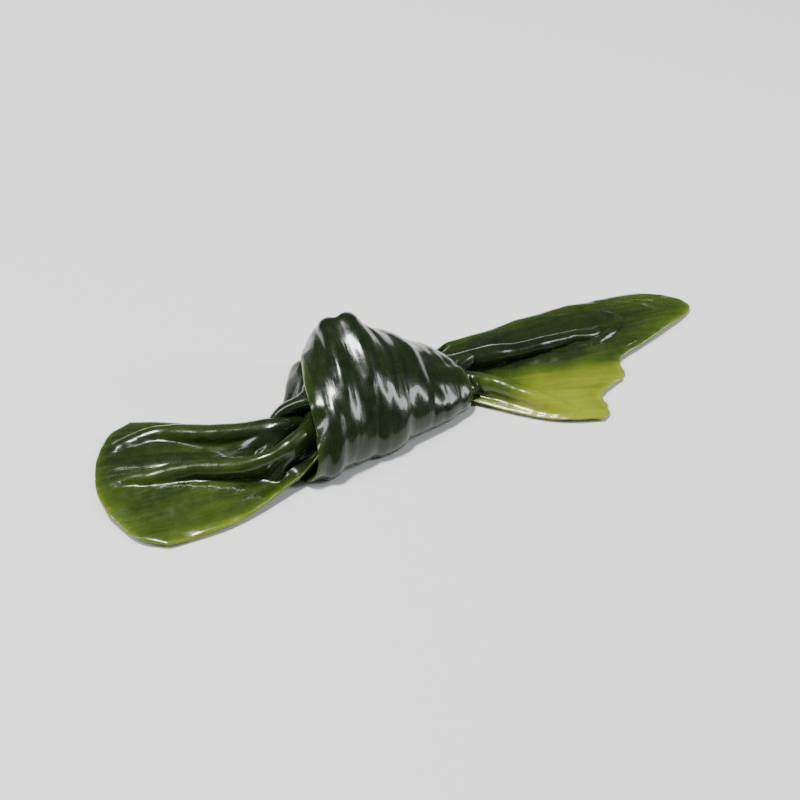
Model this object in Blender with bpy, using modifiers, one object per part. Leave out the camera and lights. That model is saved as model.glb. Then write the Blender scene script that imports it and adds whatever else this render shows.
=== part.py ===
"""Salted kelp knot: one strip of kelp tied in an overhand knot, both tails lying on the ground plane."""
import bpy
import bmesh
import numpy as np

MM = 0.001
KNOT_SIZE = 1.0
SECTIONS = 116
STEPS_ACROSS = 12
EDGE_SHARE = 0.7
PRESSED = 0.25
SHIFT_X = -3.3
SHIFT_Y = 2.35
SKIN_CELL = 0.5
SKIN_SHARE = 0.085
RIGHT_CUT_DEPTH = 38.0
RIGHT_TIP_TAPER = 9.0
RIGHT_CUT_REACH = 60.0
LEFT_CORNER_ROUND = 5.0
LEFT_CORNER_REACH = 30.0

# Route of the middle of the strip, left tail end first.
# Each point is x, y, z, roll of the width, curl of the width (degrees), spread width and thickness (mm).
ROUTE = [
    (-60.0, -24.0, 2.0, -180, 20, 38, 1.8),
    (-49.0, -24.0, 2.5, -180, 40, 36, 2.0),
    (-38.0, -22.5, 3.5, -185, 60, 30, 2.4),
    (-28.0, -20.0, 5.0, -190, 70, 21, 4.2),
    (-19.0, -16.5, 5.5, -200, 40, 17, 6.5),
    (-11.5, -11.5, 6.0, -205, 20, 20, 9.5),
    (-12.5, -2.0, 7.5, -250, 0, 15, 9.5),
    (-12.0, 6.5, 9.0, -272, 30, 14, 8.5),
    (-9.5, 10.5, 14.0, -272, 50, 15, 7.5),
    (-3.5, 8.5, 17.0, -265, 100, 25, 6.0),
    (2.0, 2.0, 17.0, -262, 115, 35, 5.5),
    (4.5, -4.0, 12.0, -268, 105, 35, 6.0),
    (2.5, -6.5, 6.5, -280, 80, 34, 5.5),
    (-3.5, -5.0, 4.0, -308, 20, 36, 8.0),
    (-11.5, -2.5, 4.0, -315, 0, 36, 8.0),
    (-18.0, -1.0, 6.5, -310, 20, 34, 5.0),
    (-17.0, -1.0, 12.5, -300, 90, 30, 4.0),
    (-9.0, 0.0, 15.0, -290, 150, 22, 5.0),
    (-0.5, 2.0, 12.5, -285, 190, 19, 5.0),
    (7.0, 6.0, 10.0, -285, 200, 19, 4.6),
    (14.0, 10.0, 8.5, -290, 195, 20, 4.2),
    (23.0, 12.5, 7.5, -292, 170, 23, 3.6),
    (33.0, 14.0, 6.0, -293, 120, 29, 2.8),
    (44.0, 15.5, 4.5, -296, 80, 34, 2.2),
    (56.0, 17.5, 3.5, -300, 60, 38, 1.8),
    (68.0, 19.5, 3.5, -300, 60, 38, 1.8),
    (79.0, 21.5, 3.5, -300, 60, 38, 1.8),
]


def smooth_rows(rows, per):
    ends = np.vstack([2 * rows[0] - rows[1], rows, 2 * rows[-1] - rows[-2]])
    t = (np.arange(per) / per)[:, None]
    out = []
    for k in range(1, len(ends) - 2):
        a, b, c, d = ends[k - 1], ends[k], ends[k + 1], ends[k + 2]
        out.append(0.5 * (2 * b + (c - a) * t + (2 * a - 5 * b + 4 * c - d) * t**2 + (3 * b - a - 3 * c + d) * t**3))
    out.append(ends[-2][None])
    return np.vstack(out)


def unit(v):
    return v / np.linalg.norm(v, axis=-1, keepdims=True)


def build_sections():
    dense = smooth_rows(np.array(ROUTE, float), 60)
    dense[:, :2] += SHIFT_X, SHIFT_Y
    along = unit(np.gradient(dense[:, :3], axis=0))
    side = np.zeros_like(along)
    side[0] = unit(np.cross([0, 0, 1.0], along[0]))
    for i in range(1, len(along)):
        side[i] = unit(side[i - 1] - (side[i - 1] @ along[i]) * along[i])
    up = np.cross(along, side)
    run = np.r_[0, np.cumsum(np.linalg.norm(np.diff(dense[:, :3], axis=0), axis=1))]
    stops = np.linspace(0, run[-1], SECTIONS)
    pick = lambda v: np.stack([np.interp(stops, run, v[:, k]) for k in range(v.shape[1])], 1)
    row, along, side, up = pick(dense), unit(pick(along)), unit(pick(side)), unit(pick(up))
    across = np.linspace(-1, 1, STEPS_ACROSS + 1)
    short_side = np.sin(np.clip((across + 1) / 1.6, 0, 1) * np.pi / 2)
    tip_side = np.clip((-0.5 - across) / 0.5, 0, 1) ** 1.3
    end_cut = RIGHT_CUT_DEPTH * short_side + RIGHT_TIP_TAPER * tip_side
    rings = []
    for i, stop in enumerate(stops):
        x, y, z, roll, curl, width, thick = row[i]
        angle = np.radians(roll + curl * across / 2)
        half = (angle[1:] + angle[:-1]) / 2
        step = width / 2 * (across[1] - across[0])
        px = np.r_[0, np.cumsum(np.cos(half)) * step]
        py = np.r_[0, np.cumsum(np.sin(half)) * step]
        px, py = px - px[STEPS_ACROSS // 2], py - py[STEPS_ACROSS // 2]
        mid = row[i, :3] + px[:, None] * side[i] + py[:, None] * up[i]
        q = np.clip((stop - (run[-1] - RIGHT_CUT_REACH)) / RIGHT_CUT_REACH, 0, 1)
        mid = mid - (q * end_cut)[:, None] * along[i]
        q = np.clip((LEFT_CORNER_REACH - stop) / LEFT_CORNER_REACH, 0, 1)
        mid = mid + (q * LEFT_CORNER_ROUND * across**2)[:, None] * along[i]
        face = -np.sin(angle)[:, None] * side[i] + np.cos(angle)[:, None] * up[i]
        t = (thick / 2 * (1 - (1 - EDGE_SHARE) * across**2))[:, None]
        mid[:, 2] = np.maximum(mid[:, 2], t[:, 0] * np.maximum(np.abs(face[:, 2]), 0.6) - PRESSED)
        ring = np.vstack([mid + face * t, (mid - face * t)[::-1]])
        rings.append(ring)
    return np.array(rings)


def make_strip(collection):
    # Each pair of neighbouring sections is a closed slab, so a tight bend in the strip stays solid.
    rings = build_sections() * MM * KNOT_SIZE
    rings[:, :, 2] = np.maximum(rings[:, :, 2], -PRESSED * MM * KNOT_SIZE)
    around = rings.shape[1]
    half = around // 2
    points = []
    faces = []
    for first, second in zip(rings[:-1], rings[1:]):
        base = len(points)
        points.extend(first.tolist() + second.tolist())
        for j in range(around):
            k = (j + 1) % around
            faces.append((base + j, base + around + j, base + around + k, base + k))
        for j in range(half - 1):
            quad = (base + j, base + j + 1, base + around - 2 - j, base + around - 1 - j)
            faces.append(quad)
            faces.append(tuple(corner + around for corner in quad[::-1]))
    mesh = bpy.data.meshes.new("kelp_strip")
    mesh.from_pydata(points, [], faces)
    body = bmesh.new()
    body.from_mesh(mesh)
    bmesh.ops.recalc_face_normals(body, faces=body.faces)
    bmesh.ops.triangulate(body, faces=body.faces)
    body.to_mesh(mesh)
    body.free()
    strip = bpy.data.objects.new("kelp_strip", mesh)
    collection.objects.link(strip)
    return strip


def join_layers(strip):
    # Where two layers of the strip press together they are joined, so the body keeps one closed skin.
    joined = strip.modifiers.new("joined", "REMESH")
    joined.mode = "VOXEL"
    joined.voxel_size = SKIN_CELL * MM * KNOT_SIZE
    joined.adaptivity = 0.0
    lighter = strip.modifiers.new("lighter", "DECIMATE")
    lighter.decimate_type = "COLLAPSE"
    lighter.ratio = SKIN_SHARE
    lighter.use_collapse_triangulate = True
    graph = bpy.context.evaluated_depsgraph_get()
    skin = bpy.data.meshes.new_from_object(strip.evaluated_get(graph))
    strip.modifiers.clear()
    strip.data = skin
    body = bmesh.new()
    body.from_mesh(skin)
    shells = []
    left = set(body.verts)
    while left:
        shell = [left.pop()]
        for vertex in shell:
            for edge in vertex.link_edges:
                other = edge.other_vert(vertex)
                if other in left:
                    left.discard(other)
                    shell.append(other)
        shells.append(shell)
    shells.sort(key=len)
    for shell in shells[:-1]:
        bmesh.ops.delete(body, geom=shell, context="VERTS")
    body.to_mesh(skin)
    body.free()


def cut_flat(strip, collection):
    block = bpy.data.meshes.new("ground_block")
    form = bmesh.new()
    bmesh.ops.create_cube(form, size=1.0)
    for vertex in form.verts:
        vertex.co.x *= 0.3
        vertex.co.y *= 0.3
        vertex.co.z = vertex.co.z * 0.02 - 0.01
    form.to_mesh(block)
    form.free()
    ground = bpy.data.objects.new("ground_block", block)
    ground.hide_render = True
    collection.objects.link(ground)
    flat = strip.modifiers.new("flat", "BOOLEAN")
    flat.operation = "DIFFERENCE"
    flat.solver = "EXACT"
    flat.object = ground


def kelp_material():
    material = bpy.data.materials.new("wet_kelp")
    material.use_nodes = True
    shader = material.node_tree.nodes["Principled BSDF"]
    shader.inputs["Base Color"].default_value = (0.035, 0.085, 0.012, 1.0)
    shader.inputs["Roughness"].default_value = 0.28
    shader.inputs["Metallic"].default_value = 0.0
    return material


for old in list(bpy.data.objects):
    bpy.data.objects.remove(old)

knot = bpy.data.collections.new("salted_kelp_knot")
tools = bpy.data.collections.new("cutters")
bpy.context.scene.collection.children.link(knot)
bpy.context.scene.collection.children.link(tools)
strip = make_strip(knot)
join_layers(strip)
strip.data.materials.append(kelp_material())
cut_flat(strip, tools)
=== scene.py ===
import math

import bpy
import numpy as np
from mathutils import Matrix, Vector


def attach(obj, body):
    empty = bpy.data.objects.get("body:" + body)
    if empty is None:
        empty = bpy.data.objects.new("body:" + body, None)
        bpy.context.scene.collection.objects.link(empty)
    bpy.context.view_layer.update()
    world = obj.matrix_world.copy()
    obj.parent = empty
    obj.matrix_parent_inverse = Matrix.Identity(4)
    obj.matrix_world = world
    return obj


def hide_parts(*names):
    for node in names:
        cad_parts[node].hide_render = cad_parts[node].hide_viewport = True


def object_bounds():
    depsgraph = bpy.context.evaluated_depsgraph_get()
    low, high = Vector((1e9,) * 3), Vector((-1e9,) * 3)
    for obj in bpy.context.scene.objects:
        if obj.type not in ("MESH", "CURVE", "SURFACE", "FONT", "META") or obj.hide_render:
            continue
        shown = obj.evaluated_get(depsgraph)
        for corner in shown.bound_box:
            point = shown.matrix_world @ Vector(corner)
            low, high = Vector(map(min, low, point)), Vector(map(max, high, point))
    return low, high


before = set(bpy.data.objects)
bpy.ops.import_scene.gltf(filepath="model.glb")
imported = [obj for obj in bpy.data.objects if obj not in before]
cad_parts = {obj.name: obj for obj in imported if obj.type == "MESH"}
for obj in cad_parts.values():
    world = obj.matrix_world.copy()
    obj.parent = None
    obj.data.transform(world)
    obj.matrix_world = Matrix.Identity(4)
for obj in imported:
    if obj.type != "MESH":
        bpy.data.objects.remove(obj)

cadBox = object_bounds()
print("frame loaded, box", [[round(v, 4) for v in corner] for corner in cadBox])


# Ribbon of kelp as it is cut, in millimetres: along it from its left end, across it from -1 to 1
ribbon = {
    "width": 38.0,
    "thickness": 1.6,
    "edgeThickness": 0.8,
    "slack": 1.02,          # length over the route's own length
    "cutReach": 60.0,       # how far in the right end's cut is felt, and its depth across the ribbon
    "cutPlaces": (-1.0, -0.9, -0.78, -0.65, -0.5, -0.3, 0.1, 0.22, 0.38, 0.5, 0.6, 0.7, 0.92, 1.0),
    "cutDepths": (11.0, 5.0, 1.5, 0.0, 1.5, 8.5, 22.0, 21.5, 21.5, 24.5, 28.5, 28.0, 27.0, 28.5),
    "roundReach": 36.0,     # the same for the rounded left end
    "roundPlaces": (-1.0, -0.9, -0.75, -0.4, 0.0, 0.4, 0.75, 0.9, 1.0),
    "roundDepths": (7.5, 4.6, 2.6, 0.6, 0.0, 0.8, 3.4, 6.0, 9.5),
    "widthPlaces": (0, 18, 38, 58, 75, 130, 145, 178, 205, 220, 260),
    "widthShares": (1.04, 1.02, 0.76, 0.76, 1.0, 1.0, 0.76, 0.88, 1.0, 1.03, 1.05),
    "widthSmoothing": 12,
    "routeSteps": 60,       # pieces between two points of the route, where its curve is measured
    "shift": (-3.3, 2.35),  # from the route's own place to the knot's
}

# Middle of the ribbon, left end first: x, y, z and the turn of its width in degrees
route = [
    (-60.0, -23.5, 2.0, -180), (-49.0, -22.0, 2.5, -180), (-38.0, -19.5, 3.5, -180),
    (-28.0, -17.0, 5.0, -180), (-20.5, -14.0, 6.0, -178), (-15.0, -9.5, 6.0, -182),
    (-14.0, -2.0, 6.5, -205), (-13.0, 7.0, 9.0, -250), (-10.0, 12.0, 15.0, -282),
    (-3.5, 9.0, 19.0, -266), (2.5, 2.0, 18.4, -268), (6.5, -4.0, 13.5, -276),
    (4.0, -6.0, 5.5, -300), (-3.0, -5.0, 1.5, -320), (-11.5, -2.5, 1.5, -320),
    (-19.0, -1.0, 4.5, -320), (-17.0, -1.0, 12.5, -285), (-9.0, 0.0, 15.5, -285),
    (-0.5, 4.0, 12.8, -300), (7.0, 9.0, 12.2, -302), (14.0, 13.0, 11.8, -302),
    (23.0, 16.5, 10.5, -302), (33.0, 18.0, 8.2, -302), (44.0, 18.2, 5.8, -302),
    (56.0, 17.6, 4.2, -302), (69.5, 16.5, 3.5, -302),
]


def lengthOf(d):
    return np.sqrt((d * d).sum(-1))


def curveThrough(points, per):
    # points between neighbours on a smooth curve, along the first axis
    ends = np.concatenate([2 * points[:1] - points[1:2], points, 2 * points[-1:] - points[-2:-1]])
    a, b, c, d = ends[:-3], ends[1:-2], ends[2:-1], ends[3:]
    parts = []
    for k in range(per):
        t = k / per
        bend = (2 * a - 5 * b + 4 * c - d) * t * t + (3 * b - a - 3 * c + d) * t**3
        parts.append(0.5 * (2 * b + (c - a) * t + bend))
    curve = np.stack(parts, 1).reshape((-1,) + points.shape[1:])
    return np.concatenate([curve, points[-1:]])


def finerGrid(grid, times):
    rows = curveThrough(grid, times)
    return np.moveaxis(curveThrough(np.moveaxis(rows, 1, 0), times), 0, 1)


def routeFrames(count):
    # the middle line, the way the width points, the route points passed and the length
    dense = curveThrough(np.array(route, float), ribbon["routeSteps"])
    along = np.gradient(dense[:, :3], axis=0)
    along /= lengthOf(along)[:, None]
    side = np.zeros_like(along)
    first = np.cross([0, 0, 1.0], along[0])
    side[0] = first / lengthOf(first)
    for i in range(1, len(along)):
        turned = side[i - 1] - (side[i - 1] @ along[i]) * along[i]
        side[i] = turned / lengthOf(turned)
    up = np.cross(along, side)
    turn = np.radians(dense[:, 3:4])
    across = np.cos(turn) * side + np.sin(turn) * up
    run = np.r_[0, np.cumsum(lengthOf(np.diff(dense[:, :3], axis=0)))]
    stops = np.linspace(0, run[-1], count)
    passed = np.interp(stops, run, np.arange(len(run)) / ribbon["routeSteps"])
    middle = np.stack([np.interp(stops, run, dense[:, k]) for k in range(3)], 1)
    across = np.stack([np.interp(stops, run, across[:, k]) for k in range(3)], 1)
    return middle, across, passed, run[-1]


def cutRibbon(rows, columns, length):
    # the ribbon laid flat, as it is cut: place along it and across it
    v = np.linspace(-1, 1, columns)[None]
    flat = np.zeros((rows, columns, 2))
    flat[:, :, 0] = (np.arange(rows) * length * ribbon["slack"] / (rows - 1))[:, None]
    flat[:, :, 1] = v * ribbon["width"] / 2
    s = flat[:, 0, 0].copy()
    shares = np.interp(s, ribbon["widthPlaces"], ribbon["widthShares"])
    for turn in range(ribbon["widthSmoothing"]):
        shares[1:-1] = (shares[:-2] + 2 * shares[1:-1] + shares[2:]) / 4
    flat[:, :, 1] *= shares[:, None]
    near = np.clip(1 - (s[-1] - s) / ribbon["cutReach"], 0, 1)[:, None]
    flat[:, :, 0] -= near * np.interp(v, ribbon["cutPlaces"], ribbon["cutDepths"])
    near = np.clip(1 - s / ribbon["roundReach"], 0, 1)[:, None]
    flat[:, :, 0] += near * np.interp(v, ribbon["roundPlaces"], ribbon["roundDepths"])
    return flat


# How the ribbon grows to its full width round itself and settles, in millimetres and steps
settling = {
    "pitch": 2.2,           # first grid's spacing
    "gap": 2.9,             # between two layers' middles
    "firstWidth": 0.15,
    "firstNoise": 0.02,
    "growSteps": 400,
    "holdSteps": 100,
    "restSteps": 100,
    "growEvery": 10,
    "pull": 0.1,            # how firmly the middle is kept on its route while it grows
    "pullEnds": 0.6,        # share of the rest in which the pull dies away
    "leftHold": 35.0,
    "rightHold": 58.0,
    "wrapHold": 0.15,
    "holdShare": 0.5,       # pull on the held rows over the pull on the middle
    "holdFloor": 1.0,
    "swell": 0.03,          # how firmly the wrap is pushed out round the layers inside it
    "swellAxis": ((-2.0, 2.0, 10.5), (0.86, 0.5, 0.0)),
    "swellSides": (1.3, 0.1),
    "swellPoints": (7, 8, 13, 14),
    "gravity": 0.02,
    "floor": 0.8,
    "bendAlong": 0.1,
    "bendAcross": 0.04,
    "shear": 0.4,
    "passes": 6,
    "nearShare": 1.4,       # neighbours are looked for within this many gaps
    "apartShare": 1.6,      # and touch only if they lie this many gaps apart on the flat ribbon
    "hitEase": 0.6,
    "longestMove": 0.7,
    "speedKept": 0.92,
    "touchKept": 0.6,
    "floorKept": 0.5,
    "finerSteps": 90,
    "finerGap": 1.85,
    "finerGravity": 0.004,
    "finerBend": (0.12, 0.06),
    "quickShares": (3, 4),
    "seed": 1,
}


def nearPairs(points, reach):
    # every two points closer than reach, found through sorted cells
    cell = np.floor((points - points.min(0)) / reach).astype(np.int64) + 1
    size = cell.max(0) + 2
    key = cell[:, 0] + size[0] * (cell[:, 1] + size[1] * cell[:, 2])
    order = np.argsort(key, kind="stable")
    keys = key[order]
    here = np.arange(len(points))
    first, second = [], []
    for dy, dz in ((0, 0), (1, 0), (-1, 1), (0, 1), (1, 1)):
        shift = size[0] * (dy + size[1] * dz)
        low = here + 1 if shift == 0 else np.searchsorted(keys, keys + shift - 1, "left")
        high = np.searchsorted(keys, keys + shift + 1, "right")
        count = np.maximum(high - low, 0)
        i = np.repeat(here, count)
        j = np.arange(len(i)) - np.repeat(np.cumsum(count) - count, count) + np.repeat(low, count)
        first.append(order[i])
        second.append(order[j])
    i, j = np.concatenate(first), np.concatenate(second)
    close = lengthOf(points[i] - points[j]) < reach
    return i[close], j[close]


def farOnRibbon(flat, i, j, distance):
    # whether two points are more than a distance apart on the flat ribbon
    places = flat.reshape(-1, 2)
    return lengthOf(places[i] - places[j]) > distance


def ribbonLinks(flat, bendAlong, bendAcross):
    # stretch, shear and bend links in groups that share no point
    rows, columns = flat.shape[:2]
    whole = slice(None)
    links = []

    def link(a, b, share):
        links.append((a, b, lengthOf(flat[a] - flat[b]), share))

    for o in (0, 1):
        link((slice(o, rows - 1, 2), whole), (slice(o + 1, rows, 2), whole), 1.0)
    for o in (0, 1):
        link((whole, slice(o, columns - 1, 2)), (whole, slice(o + 1, columns, 2)), 1.0)
    for o in (0, 1):
        low, high = slice(o, rows - 1, 2), slice(o + 1, rows, 2)
        left, right = slice(0, columns - 1), slice(1, columns)
        link((low, left), (high, right), settling["shear"])
        link((low, right), (high, left), settling["shear"])
    for o in range(4):
        link((slice(o, rows - 2, 4), whole), (slice(o + 2, rows, 4), whole), bendAlong)
        link((whole, slice(o, columns - 2, 4)), (whole, slice(o + 2, columns, 4)), bendAcross)
    return links


def swellWrap(x, weight):
    # the wrap is pushed away from the line that runs through its middle
    start, line = np.array(settling["swellAxis"])
    line = line / np.sqrt(line @ line)
    rows = np.flatnonzero(weight)
    out = x[rows] - start
    out -= (out @ line)[..., None] * line
    out /= np.maximum(lengthOf(out), 1e-9)[..., None]
    sides = np.linspace(*settling["swellSides"], x.shape[1])[:, None]
    x[rows] += settling["swell"] * weight[rows, None, None] * sides * out


def keepLengths(x, links):
    for a, b, rest, share in links:
        d = x[b] - x[a]
        length = lengthOf(d) + 1e-9
        d *= (0.5 * share * (length - rest) / length)[..., None]
        x[a] += d
        x[b] -= d


def partLayers(points, i, j, gap, touched):
    # points closer than the gap push each other apart, more gently where many meet
    d = points[j] - points[i]
    length = lengthOf(d) + 1e-9
    hit = length < gap
    if not hit.any():
        return
    total = len(points)
    a, b = i[hit], j[hit]
    push = d[hit] * (0.5 * (gap - length[hit]) / length[hit])[:, None]
    hits = np.bincount(a, minlength=total) + np.bincount(b, minlength=total)
    ease = 1 / np.maximum(hits * settling["hitEase"], 1)
    for axis in range(3):
        move = np.bincount(b, push[:, axis], total) - np.bincount(a, push[:, axis], total)
        points[:, axis] += move * ease
    touched |= hits > 0


def settleOnce(x, speed, flat, links, gap, gravity, wrap, hold=None):
    # one small step: links keep their length, layers keep their gap, nothing goes below the floor
    before = x.copy()
    x += speed * settling["speedKept"]
    x[:, :, 2] -= gravity
    swellWrap(x, wrap)
    points = x.reshape(-1, 3)
    i, j = nearPairs(points, gap * settling["nearShare"])
    apart = farOnRibbon(flat, i, j, gap * settling["apartShare"])
    i, j = i[apart], j[apart]
    touched = np.zeros(len(points), bool)
    for turn in range(settling["passes"]):
        if hold:
            hold(x)
        keepLengths(x, links)
        partLayers(points, i, j, gap, touched)
        np.maximum(x[:, :, 2], settling["floor"], out=x[:, :, 2])
    d = x - before
    d *= np.minimum(1, settling["longestMove"] / np.maximum(lengthOf(d), 1e-9))[..., None]
    x[:] = before + d
    speed[:] = d
    speed[touched.reshape(x.shape[:2])] *= settling["touchKept"]
    speed[x[:, :, 2] < settling["floor"] + 0.02] *= settling["floorKept"]


def growKnot():
    # a narrow ribbon lies on the route, then widens, so that its layers find their own folds
    pitch = settling["pitch"]
    length = routeFrames(10)[3]
    rows = int(round(length / pitch)) + 1
    columns = 2 * int(round(ribbon["width"] / pitch / 2))
    middle, across, passed, length = routeFrames(rows)
    flat = cutRibbon(rows, columns, length)
    firstWidth = settling["firstWidth"]
    x = middle[:, None] + flat[:, :, 1, None] * firstWidth * across[:, None]
    x += np.random.default_rng(settling["seed"]).normal(0, settling["firstNoise"], x.shape)
    wrap = np.interp(passed, settling["swellPoints"], [0, 1, 1, 0])
    speed = np.zeros_like(x)

    # both ends and the wrap are held to the way the width points on the route
    centre = slice(columns // 2 - 1, columns // 2 + 1)
    left, right = int(settling["leftHold"] / pitch), int(settling["rightHold"] / pitch)
    band = np.flatnonzero(wrap)
    held = [
        (slice(0, left), np.linspace(1, 0, left)),
        (slice(rows - right, rows), np.linspace(0, 2, right).clip(0, 1)),
        (slice(band[0], band[-1] + 1), settling["wrapHold"] * wrap[band]),
    ]

    def holdToRoute(x, pull, width):
        if pull == 0:
            return
        x[:, centre] += (pull * (middle - x[:, centre].mean(1)))[:, None]
        for part, weight in held:
            goal = middle[part, None] + flat[part, :, 1, None] * width * across[part, None]
            goal[..., 2] = np.maximum(goal[..., 2], settling["holdFloor"])
            x[part] += settling["holdShare"] * pull * weight[:, None, None] * (goal - x[part])

    fewer, fewerFiner = ((1, 1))
    grow = settling["growSteps"] // fewer
    keep = settling["holdSteps"] // fewer
    rest = settling["restSteps"] // fewer
    for step in range(grow + keep + rest):
        width = firstWidth + (1 - firstWidth) * min(1, step / grow)
        if step <= grow and step % settling["growEvery"] == 0:
            wide = flat * np.array([1, firstWidth + (1 - firstWidth) * step / grow])
            links = ribbonLinks(wide, settling["bendAlong"], settling["bendAcross"])
        firm = 1 - (step - grow - keep) / (rest * settling["pullEnds"])
        pull = settling["pull"] * min(1, max(0, firm))
        settleOnce(x, speed, wide, links, settling["gap"], settling["gravity"], wrap,
                   lambda x: holdToRoute(x, pull, width))
    print("ribbon grown", x.shape)

    x, flat = finerGrid(x, 2), finerGrid(flat, 2)
    wrap = curveThrough(wrap, 2)
    links = ribbonLinks(flat, *settling["finerBend"])
    speed = np.zeros_like(x)
    for step in range(settling["finerSteps"] // fewerFiner):
        settleOnce(x, speed, flat, links, settling["finerGap"], settling["finerGravity"], wrap)
    corners = x.reshape(-1, 3)
    print("ribbon settled", x.shape, corners.min(0).round(1), corners.max(0).round(1))
    return x, flat, wrap


# Relief, rim and torn end of the blade, in millimetres
surface = {
    "ribHeight": 0.12,      # fine lengthwise wrinkles
    "ribLength": 14.0,
    "ribWidth": 1.5,
    "swellHeight": 0.26,    # broad unevenness, lower where layers are piled
    "swellSize": 7.0,
    "swellAcross": 0.6,
    "swellPiled": 0.6,
    "puckerHeight": 0.07,   # small puckers
    "puckerSize": 2.6,
    "puckerAcross": 0.7,
    "foldHeight": 1.5,      # folds that run with the ribbon where it wraps the knot, outward only
    "foldLength": 22.0,
    "foldWidth": 3.0,
    "foldPlaces": (-1.0, 0.2, 0.8, 1.0),
    "foldShares": (0.3, 0.8, 1.0, 0.8),
    "foldSeed": 11,
    "tornDepth": 0.35,      # torn edge of the right end
    "tornRows": 14,
    "tornSteps": (4, 1.2),
    "tornFine": 0.9,
    "tornFrom": -0.1,
    "tornOver": 0.3,
    "tornLeast": 0.3,
    "rimSteps": 3,          # grid steps over which the rim is rounded, and the blade thickens
    "rimLeast": 0.45,
    "thickSteps": 9,
    "lip": 0.16,
    "pileReach": 4.6,       # how near and how far along the ribbon another layer is counted
    "pileApart": 2.2,
    "pileFull": 45.0,
    "pileSmoothing": 8,
    "spareShare": 0.018,    # how far the ribbon may pass the solid's box, as a share of each side
    "seed": 5,
}


def eased(t):
    return t * t * (3 - 2 * t)


def evenNoise(rng, rows, columns, stepRows, stepColumns):
    # smooth noise on the grid, about -1 to 1
    coarse = rng.uniform(-1, 1, (int(rows / stepRows) + 3, int(columns / stepColumns) + 3))
    at = np.arange(rows) / stepRows
    low = np.floor(at).astype(int)
    t = eased((at - low)[:, None])
    mixed = coarse[low] * (1 - t) + coarse[low + 1] * t
    at = np.arange(columns) / stepColumns
    low = np.floor(at).astype(int)
    t = eased(at - low)
    return mixed[:, low] * (1 - t) + mixed[:, low + 1] * t


def withNeighbours(grid, across):
    # each value four times, and its four neighbours
    padded = np.pad(grid, across, mode="edge")
    return padded[:-2, 1:-1] + padded[2:, 1:-1] + padded[1:-1, :-2] + padded[1:-1, 2:] + 4 * grid


def pileOf(x, flat):
    # how much other ribbon lies close to each point: 0 alone, about 1 between layers
    i, j = nearPairs(x.reshape(-1, 3), surface["pileReach"])
    apart = farOnRibbon(flat, i, j, surface["pileApart"] * surface["pileReach"])
    total = x[..., 0].size
    count = np.bincount(i[apart], minlength=total) + np.bincount(j[apart], minlength=total)
    pitch = settling["pitch"] / 2
    pile = np.clip(count.reshape(x.shape[:2]) * pitch * pitch / surface["pileFull"], 0, 1)
    for turn in range(surface["pileSmoothing"]):
        pile = withNeighbours(pile, 1) / 8
    return pile


def gridNormals(x):
    normals = np.cross(np.gradient(x, axis=0), np.gradient(x, axis=1))
    for turn in range(2):
        normals = withNeighbours(normals, ((1, 1), (1, 1), (0, 0)))
    return normals / np.maximum(lengthOf(normals), 1e-9)[..., None]


def tearEnd(x, rng):
    # the right end is pushed in and out along the ribbon, less on its far side
    rows, columns = x.shape[:2]
    v = np.linspace(-1, 1, columns)
    broad, fine = [evenNoise(rng, columns, 2, step, 2)[:, 0] for step in surface["tornSteps"]]
    torn = broad + surface["tornFine"] * fine
    torn = torn * np.clip((v - surface["tornFrom"]) / surface["tornOver"], surface["tornLeast"], 1)
    last = surface["tornRows"]
    near = np.clip((np.arange(rows) - (rows - last)) / (last - 1), 0, 1)[:, None] ** 2
    along = np.gradient(x, axis=0)
    along /= np.maximum(lengthOf(along), 1e-9)[..., None]
    return x + (near * torn[None] * surface["tornDepth"])[..., None] * along


def raiseRelief(x, pile, wrap, pitch, rng):
    # wrinkles, unevenness and puckers everywhere, and folds on the wrap
    rows, columns = x.shape[:2]

    def noise(source, length, width):
        return evenNoise(source, rows, columns, length / pitch, width / pitch)

    ribs = noise(rng, surface["ribLength"], surface["ribWidth"])
    swell = noise(rng, surface["swellSize"], surface["swellSize"] * surface["swellAcross"])
    pucker = noise(rng, surface["puckerSize"], surface["puckerSize"] * surface["puckerAcross"])
    relief = surface["ribHeight"] * ribs + surface["puckerHeight"] * pucker
    relief = relief + surface["swellHeight"] * swell * (1 - surface["swellPiled"] * pile)

    # on the wrap the normals point inward
    folds = noise(np.random.default_rng(surface["foldSeed"]), surface["foldLength"], surface["foldWidth"])
    v = np.linspace(-1, 1, columns)[None]
    folds = (0.5 + 0.5 * folds) ** 2 * np.interp(v, surface["foldPlaces"], surface["foldShares"])
    onWrap = np.interp(np.linspace(0, 1, rows), np.linspace(0, 1, len(wrap)), wrap)[:, None]
    relief = relief - surface["foldHeight"] * folds * onWrap
    return x + relief[..., None] * gridNormals(x)


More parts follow.
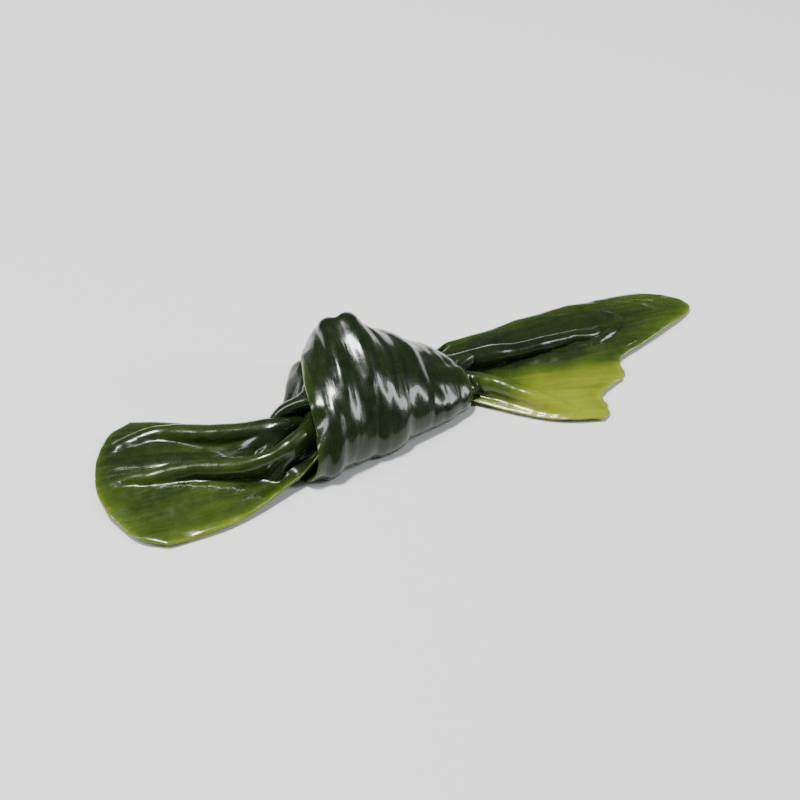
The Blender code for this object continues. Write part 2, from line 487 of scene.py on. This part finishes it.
def closeShell(x, inset):
    # two faces a thickness apart, joined all round by a rounded rim
    rows, columns = x.shape[:2]
    rim = np.clip(inset / surface["rimSteps"], 0, 1)
    least = surface["rimLeast"]
    thick = ribbon["edgeThickness"] * (least + (1 - least) * np.sqrt(1 - (1 - rim) ** 2))
    inner = eased(np.clip(inset / surface["thickSteps"], 0, 1))
    thick = thick + (ribbon["thickness"] - ribbon["edgeThickness"]) * inner
    normals = gridNormals(x)
    top = x + normals * thick[..., None] / 2
    bottom = x - normals * thick[..., None] / 2
    edge = np.concatenate([
        np.stack([np.zeros(columns - 1, int), np.arange(columns - 1)], 1),
        np.stack([np.arange(rows - 1), np.full(rows - 1, columns - 1)], 1),
        np.stack([np.full(columns - 1, rows - 1), np.arange(columns - 1, 0, -1)], 1),
        np.stack([np.arange(rows - 1, 0, -1), np.zeros(rows - 1, int)], 1),
    ])
    inside = np.clip(edge, [2, 2], [rows - 3, columns - 3])
    outward = x[edge[:, 0], edge[:, 1]] - x[inside[:, 0], inside[:, 1]]
    outward /= np.maximum(lengthOf(outward), 1e-9)[:, None]
    lip = x[edge[:, 0], edge[:, 1]] + outward * surface["lip"]
    points = np.concatenate([top.reshape(-1, 3), bottom.reshape(-1, 3), lip])

    size = rows * columns
    index = np.arange(size).reshape(rows, columns)
    quads = np.stack([index[:-1, :-1], index[1:, :-1], index[1:, 1:], index[:-1, 1:]], -1).reshape(-1, 4)
    upper = edge[:, 0] * columns + edge[:, 1]
    ring = 2 * size + np.arange(len(edge))
    nextUpper, nextRing = np.roll(upper, -1), np.roll(ring, -1)
    faces = np.concatenate([
        quads,
        quads[:, ::-1] + size,
        np.stack([upper, nextUpper, nextRing, ring], 1),
        np.stack([ring, nextRing, nextUpper + size, upper + size], 1),
    ])
    return points, faces, edge


def keepInside(points):
    # each half of an axis is drawn in a little where it passes the solid by more than the spare share
    low, high = np.array(cadBox) * 1000
    spare = surface["spareShare"] * (high - low)
    for axis in range(3):
        for side, limit in ((1, high[axis] + spare[axis]), (-1, spare[axis] - low[axis])):
            reach = (side * points[:, axis]).max()
            if reach > limit > 0:
                points[side * points[:, axis] > 0, axis] *= limit / reach
                print("drawn in along", "xyz"[axis], side, "by", round(100 * (1 - limit / reach), 2), "%")


# Painted light and shade in the blade's colour, and its random tone: lighter where light is painted as
# passing through a single thin layer, painted shade where layers are piled, a painted highlight along the
# rim; as shares of the length and places across it
paintedLightAndToneSettings = {
    "flap": (0.72, 0.16),       # right flap, painted lighter as light passing through it: where it begins along the ribbon, and over how much
    "flapSide": (-0.05, 0.30),
    "flapLevels": (0.66, 0.20),
    # right end painted lighter, as light passing through the single layer
    "tip": (0.82, 0.18),
    "tipLevel": 0.34,
    "blade": (0.24, 0.16),      # left blade, painted lighter on one side as lit and darker on the other as shaded: where it ends, and over how much
    "bladeSide": (-0.4, 1.4),
    "bladeLevels": (0.16, 0.26),
    # painted highlight along the thin rim, fading inward
    "rimHighlightLevel": 0.34,
    "rimHighlightReach": 1.4,
    "pileShade": 0.75,
    "blotchLevel": 0.09,
    "blotchSize": (9, 5),
    "streakLevel": 0.07,
    "streakSize": (22, 1.3),
}


def paintedLightAndToneOf(pile, inset, pitch, rng):
    # painted light and shade: 1 where light is painted as passing through a single layer, 0 where layers
    # are piled or thick and painted in shade; random tone is added on top
    rows, columns = pile.shape
    s = np.linspace(0, 1, rows)[:, None]
    v = np.linspace(-1, 1, columns)[None]

    def rising(values, start, over):
        return np.clip((values - start) / over, 0, 1)

    def noise(sizes):
        return evenNoise(rng, rows, columns, sizes[0] / pitch, sizes[1] / pitch)

    blotch = noise(paintedLightAndToneSettings["blotchSize"])
    streak = noise(paintedLightAndToneSettings["streakSize"])
    level, more = paintedLightAndToneSettings["flapLevels"]
    # painted light through the right flap, lighter towards its outer edge and darker towards its crease
    # as painted shade
    flap = rising(s, *paintedLightAndToneSettings["flap"]) * rising(v, *paintedLightAndToneSettings["flapSide"]) * (level + more * np.clip(v, 0, 1))
    # painted light through the thin right end
    tip = rising(s, *paintedLightAndToneSettings["tip"]) * paintedLightAndToneSettings["tipLevel"]
    # left blade: painted light on one side, painted shade on the other
    level, more = paintedLightAndToneSettings["bladeLevels"]
    end, over = paintedLightAndToneSettings["blade"]
    blade = np.clip((end - s) / over, 0, 1) * (level + more * rising(v, *paintedLightAndToneSettings["bladeSide"]))
    # painted highlight along the rim
    rimHighlight = paintedLightAndToneSettings["rimHighlightLevel"] * np.exp(-inset * pitch / paintedLightAndToneSettings["rimHighlightReach"])
    # painted shade where layers are piled, with the painted rim highlight on top
    paintedLightAndTone = np.maximum(np.maximum(flap, blade), tip) * (1 - paintedLightAndToneSettings["pileShade"] * pile) + rimHighlight
    return np.clip(paintedLightAndTone + paintedLightAndToneSettings["blotchLevel"] * blotch + paintedLightAndToneSettings["streakLevel"] * streak, 0, 1)


def makeRibbon():
    x, flat, wrap = growKnot()
    pile = pileOf(x, flat)
    x, flat = finerGrid(x, 2), finerGrid(flat, 2)
    pile = np.clip(finerGrid(pile[..., None], 2)[..., 0], 0, 1)
    rows, columns = x.shape[:2]
    pitch = settling["pitch"] / 4
    rng = np.random.default_rng(surface["seed"])
    x = tearEnd(x, rng)
    x = raiseRelief(x, pile, wrap, pitch, rng)

    # distance in grid steps to the nearest edge
    i, j = np.arange(rows)[:, None], np.arange(columns)[None]
    inset = np.minimum(np.minimum(i, rows - 1 - i), np.minimum(j, columns - 1 - j)).astype(float)
    points, faces, edge = closeShell(x, inset)
    points[:, 2] = np.maximum(points[:, 2], 0.0)
    points[:, :2] += ribbon["shift"]
    keepInside(points)
    mesh = bpy.data.meshes.new("kelpRibbon")
    mesh.from_pydata((points * 0.001).tolist(), [], faces.tolist())
    mesh.validate()

    def onShell(grid):
        # a grid's values for the upper face, the lower face and the lip
        whole = grid.reshape(rows * columns, -1)
        return np.concatenate([whole, whole, grid[edge[:, 0], edge[:, 1]].reshape(len(edge), -1)])

    # painted light and shade with random tone, stored as an attribute for the material's colour ramp
    paintedLightAndTone = onShell(paintedLightAndToneOf(pile, inset, pitch, rng)).astype(np.float32)
    mesh.attributes.new("paintedLightAndTone", "FLOAT", "POINT").data.foreach_set("value", paintedLightAndTone.ravel())
    uv = onShell(flat) * 0.01
    loops = np.zeros(len(mesh.loops), np.int32)
    mesh.loops.foreach_get("vertex_index", loops)
    mesh.uv_layers.new(name="blade").data.foreach_set("uv", uv[loops].astype(np.float32).ravel())
    mesh.shade_smooth()
    piece = bpy.data.objects.new("kelpRibbon", mesh)
    bpy.context.scene.collection.objects.link(piece)
    print("ribbon made,", len(faces), "faces")
    return piece


# Wet kelp: colours from painted shade where layers are piled to painted light through a single thin
# layer, its wet coat and its grain
kelpFinish = {
    # deep is the painted shade of piled layers, pale the painted light through a single layer
    "deep": (0.0045, 0.0105, 0.0030, 1),
    "dark": (0.0110, 0.0240, 0.0036, 1),
    "green": (0.0450, 0.0760, 0.0060, 1),
    "pale": (0.2000, 0.2350, 0.0150, 1),
    "darkAt": 0.22,
    "greenAt": 0.55,
    "streakScale": (11, 110, 1),
    "streakDetail": 4.0,
    "streakShare": 0.30,
    "spotScale": 45.0,
    "spotDetail": 5.0,
    "spotShare": 0.12,
    "shadeOffset": 0.16,        # taken off again, so that the streaks and spots keep the mean
    "roughness": 0.24,
    "roughnessSpread": (-0.08, 0.10),
    "coat": 0.60,
    "coatRoughness": 0.07,
    "refraction": 1.36,
    "specular": 0.5,
    "glow": 0.08,
    "glowRadius": (0.6, 1.0, 0.2),
    "glowScale": 0.0012,
    "bump": 0.32,
    "bumpDistance": 0.0003,
    "bumpSpots": 0.6,
}


def kelpMaterial():
    material = bpy.data.materials.new("wetKelp")
    material.use_nodes = True
    tree = material.node_tree
    shader = tree.nodes["Principled BSDF"]
    link = tree.links.new

    def node(kind, **values):
        made = tree.nodes.new(kind)
        for name, value in values.items():
            setattr(made, name, value)
        return made

    def noise(vector, scale, detail):
        made = node("ShaderNodeTexNoise")
        made.inputs["Scale"].default_value = scale
        made.inputs["Detail"].default_value = detail
        link(vector, made.inputs["Vector"])
        return made.outputs["Fac"]

    def scaledPlus(value, share, base):
        made = node("ShaderNodeMath", operation="MULTIPLY_ADD")
        link(value, made.inputs[0])
        made.inputs[1].default_value = share
        link(base, made.inputs[2])
        return made.outputs[0]

    paintedLightAndTone = node("ShaderNodeAttribute", attribute_name="paintedLightAndTone")
    uv = node("ShaderNodeUVMap", uv_map="blade")
    lengthwise = node("ShaderNodeMapping")
    lengthwise.inputs["Scale"].default_value = kelpFinish["streakScale"]
    link(uv.outputs["UV"], lengthwise.inputs["Vector"])
    streaks = noise(lengthwise.outputs["Vector"], 1.0, kelpFinish["streakDetail"])
    spots = noise(uv.outputs["UV"], kelpFinish["spotScale"], kelpFinish["spotDetail"])

    # colour: painted light and shade with random tone, and streaks and spots
    streaked = scaledPlus(streaks, kelpFinish["streakShare"], paintedLightAndTone.outputs["Fac"])
    spotted = scaledPlus(spots, kelpFinish["spotShare"], streaked)
    shade = node("ShaderNodeMath", operation="SUBTRACT", use_clamp=True)
    link(spotted, shade.inputs[0])
    shade.inputs[1].default_value = kelpFinish["shadeOffset"]
    # ramp from painted shade of piled layers to painted light through a single layer
    ramp = node("ShaderNodeValToRGB")
    stops = ramp.color_ramp.elements
    stops[0].position, stops[0].color = 0.0, kelpFinish["deep"]
    stops[1].position, stops[1].color = 1.0, kelpFinish["pale"]
    for place, name in ((kelpFinish["darkAt"], "dark"), (kelpFinish["greenAt"], "green")):
        stop = stops.new(place)
        stop.color = kelpFinish[name]
    link(shade.outputs[0], ramp.inputs["Fac"])
    link(ramp.outputs["Color"], shader.inputs["Base Color"])

    # grain under the wet coat
    bump = node("ShaderNodeBump")
    bump.inputs["Strength"].default_value = kelpFinish["bump"]
    bump.inputs["Distance"].default_value = kelpFinish["bumpDistance"]
    link(scaledPlus(spots, kelpFinish["bumpSpots"], streaks), bump.inputs["Height"])
    link(bump.outputs["Normal"], shader.inputs["Normal"])

    gloss = node("ShaderNodeMapRange")
    less, more = kelpFinish["roughnessSpread"]
    gloss.inputs["From Min"].default_value = 0.3
    gloss.inputs["From Max"].default_value = 0.7
    gloss.inputs["To Min"].default_value = kelpFinish["roughness"] + less
    gloss.inputs["To Max"].default_value = kelpFinish["roughness"] + more
    link(spots, gloss.inputs["Value"])
    link(gloss.outputs["Result"], shader.inputs["Roughness"])
    shader.inputs["Coat Weight"].default_value = kelpFinish["coat"]
    shader.inputs["Coat Roughness"].default_value = kelpFinish["coatRoughness"]
    shader.inputs["Coat IOR"].default_value = kelpFinish["refraction"]
    shader.inputs["IOR"].default_value = kelpFinish["refraction"]
    shader.inputs["Specular IOR Level"].default_value = kelpFinish["specular"]
    shader.inputs["Subsurface Weight"].default_value = kelpFinish["glow"]
    shader.inputs["Subsurface Radius"].default_value = kelpFinish["glowRadius"]
    shader.inputs["Subsurface Scale"].default_value = kelpFinish["glowScale"]
    return material


ribbonPiece = makeRibbon()
ribbonPiece.data.materials.append(kelpMaterial())
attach(ribbonPiece, "root")
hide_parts("kelp_strip")


# Pale floor, soft studio lights and the camera at the photograph's angle, in metres
studio = {
    "floorColor": (0.80, 0.80, 0.79, 1),
    "floorRoughness": 0.45,
    "floorSize": 3.0,
    "floorDrop": 0.0002,
    "sky": (0.86, 0.90, 0.95, 1),
    "skyStrength": 0.16,
    "lights": {             # place, size, watts and colour
        "topLight": ((-0.12, 0.02, 0.75), (0.16, 0.12), 9.5, (1.0, 0.99, 0.97)),
        "leftLight": ((-0.60, -0.10, 0.45), (0.16, 0.40), 3.2, (0.95, 0.97, 1.0)),
        "rightLight": ((0.62, -0.05, 0.40), (0.14, 0.35), 3.0, (0.93, 0.97, 1.0)),
    },
    "azimuth": 0.0,
    "elevation": 42.0,
    "lens": 85.0,
    "distance": 0.395,
    "target": (0.0, 0.0, 0.006),
}


def layFloor():
    half = studio["floorSize"] / 2
    corners = [(-half, -half, 0), (half, -half, 0), (half, half, 0), (-half, half, 0)]
    mesh = bpy.data.meshes.new("floor")
    mesh.from_pydata(corners, [], [(0, 1, 2, 3)])
    material = bpy.data.materials.new("paleFloor")
    material.use_nodes = True
    shader = material.node_tree.nodes["Principled BSDF"]
    shader.inputs["Base Color"].default_value = studio["floorColor"]
    shader.inputs["Roughness"].default_value = studio["floorRoughness"]
    mesh.materials.append(material)
    floor = bpy.data.objects.new("floor", mesh)
    bpy.context.scene.collection.objects.link(floor)
    floor.location.z = -studio["floorDrop"]


def lightSky():
    world = bpy.data.worlds.new("studio")
    world.use_nodes = True
    background = world.node_tree.nodes["Background"]
    background.inputs["Color"].default_value = studio["sky"]
    background.inputs["Strength"].default_value = studio["skyStrength"]
    bpy.context.scene.world = world


def softLight(name, place, size, power, color):
    data = bpy.data.lights.new(name, "AREA")
    data.shape = "RECTANGLE"
    data.size, data.size_y = size
    data.energy = power
    data.color = color
    light = bpy.data.objects.new(name, data)
    light.location = place
    light.rotation_euler = (Vector(studio["target"]) - Vector(place)).to_track_quat("-Z", "Y").to_euler()
    bpy.context.scene.collection.objects.link(light)


def aimCamera():
    data = bpy.data.cameras.new("camera")
    data.lens = studio["lens"]
    data.clip_start = 0.01
    camera = bpy.data.objects.new("camera", data)
    bpy.context.scene.collection.objects.link(camera)
    turn, rise = math.radians(studio["azimuth"]), math.radians(studio["elevation"])
    back = Vector((math.sin(turn) * math.cos(rise), -math.cos(turn) * math.cos(rise), math.sin(rise)))
    camera.location = Vector(studio["target"]) + back * studio["distance"]
    camera.rotation_euler = (-back).to_track_quat("-Z", "Y").to_euler()
    bpy.context.scene.camera = camera


layFloor()
lightSky()
for name, light in studio["lights"].items():
    softLight(name, *light)
aimCamera()
print("studio set")
